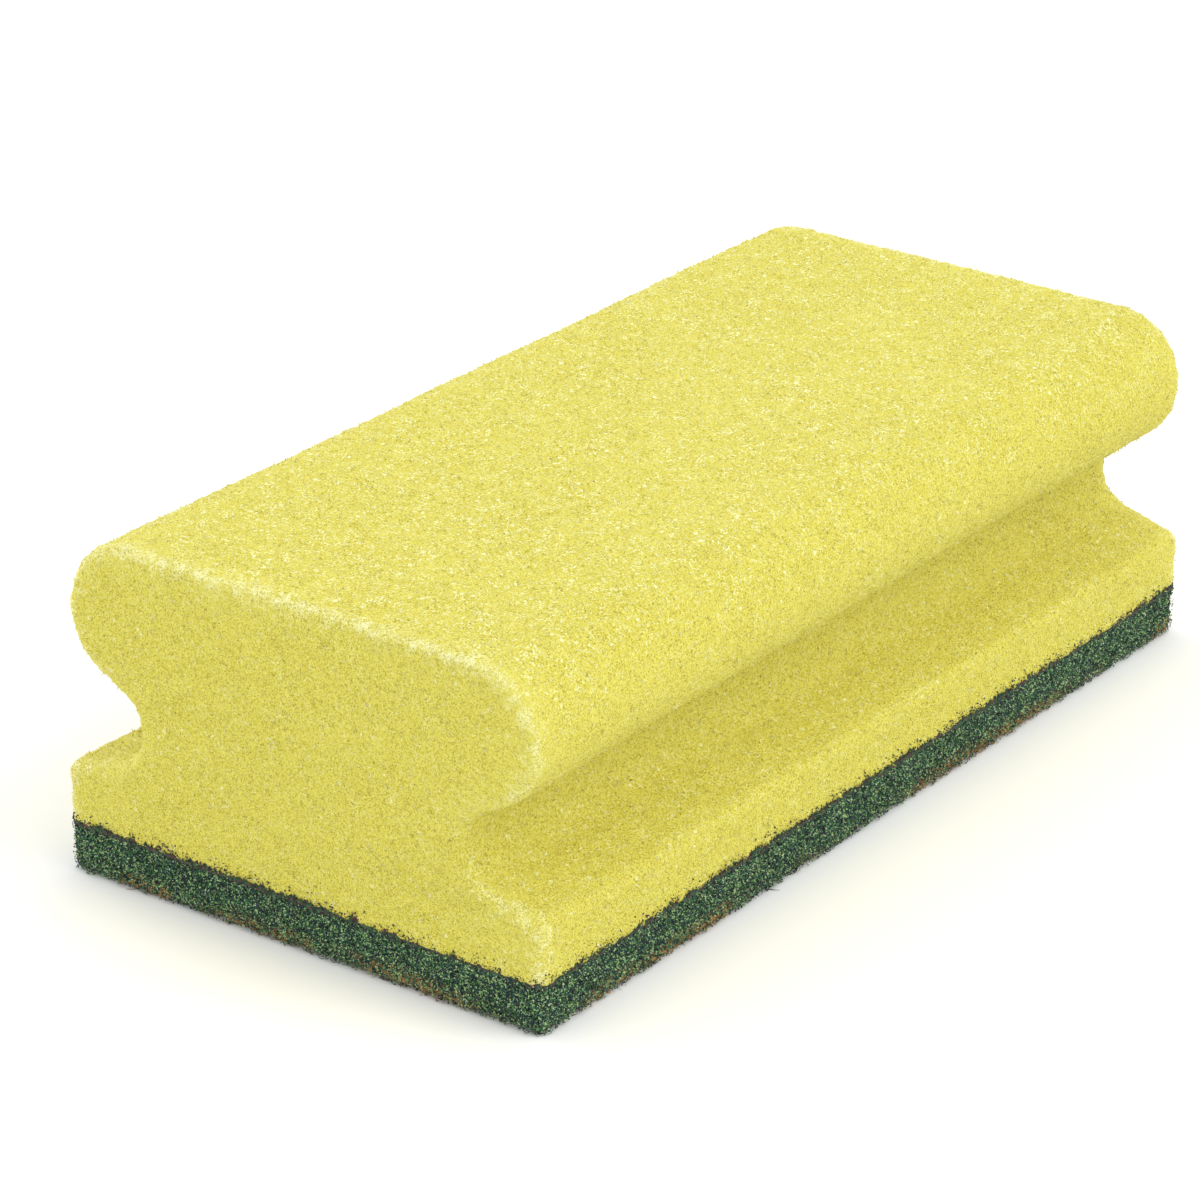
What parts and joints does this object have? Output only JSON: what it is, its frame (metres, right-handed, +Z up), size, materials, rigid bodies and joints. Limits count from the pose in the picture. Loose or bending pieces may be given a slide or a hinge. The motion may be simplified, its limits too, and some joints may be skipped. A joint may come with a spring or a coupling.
{
  "type": "cleaning sponge",
  "caption": "Foam hand sponge with a finger groove along each long side, bonded to a flat abrasive fibre pad for scouring.",
  "frame": {"origin": "centre of the footprint, on the underside of the scouring pad", "axes": "+X along the sponge's length, the way the finger grooves run; +Y across it; +Z up, from the scouring pad to the foam's wiping face"},
  "size_m": [0.14, 0.07, 0.044],
  "materials": {
    "fibre_pad": "dark green non-woven abrasive fibre web with lighter, near-black and orange-brown flecks",
    "adhesive": "thin dark line of flame-laminated adhesive",
    "foam": "lemon yellow open-cell polyurethane foam with fine glinting cell walls"
  },
  "bodies": {
    "root": {"scouring_pad": "fibre_pad", "adhesive_film": "adhesive", "foam_body": "foam"}
  },
  "joints": []
}
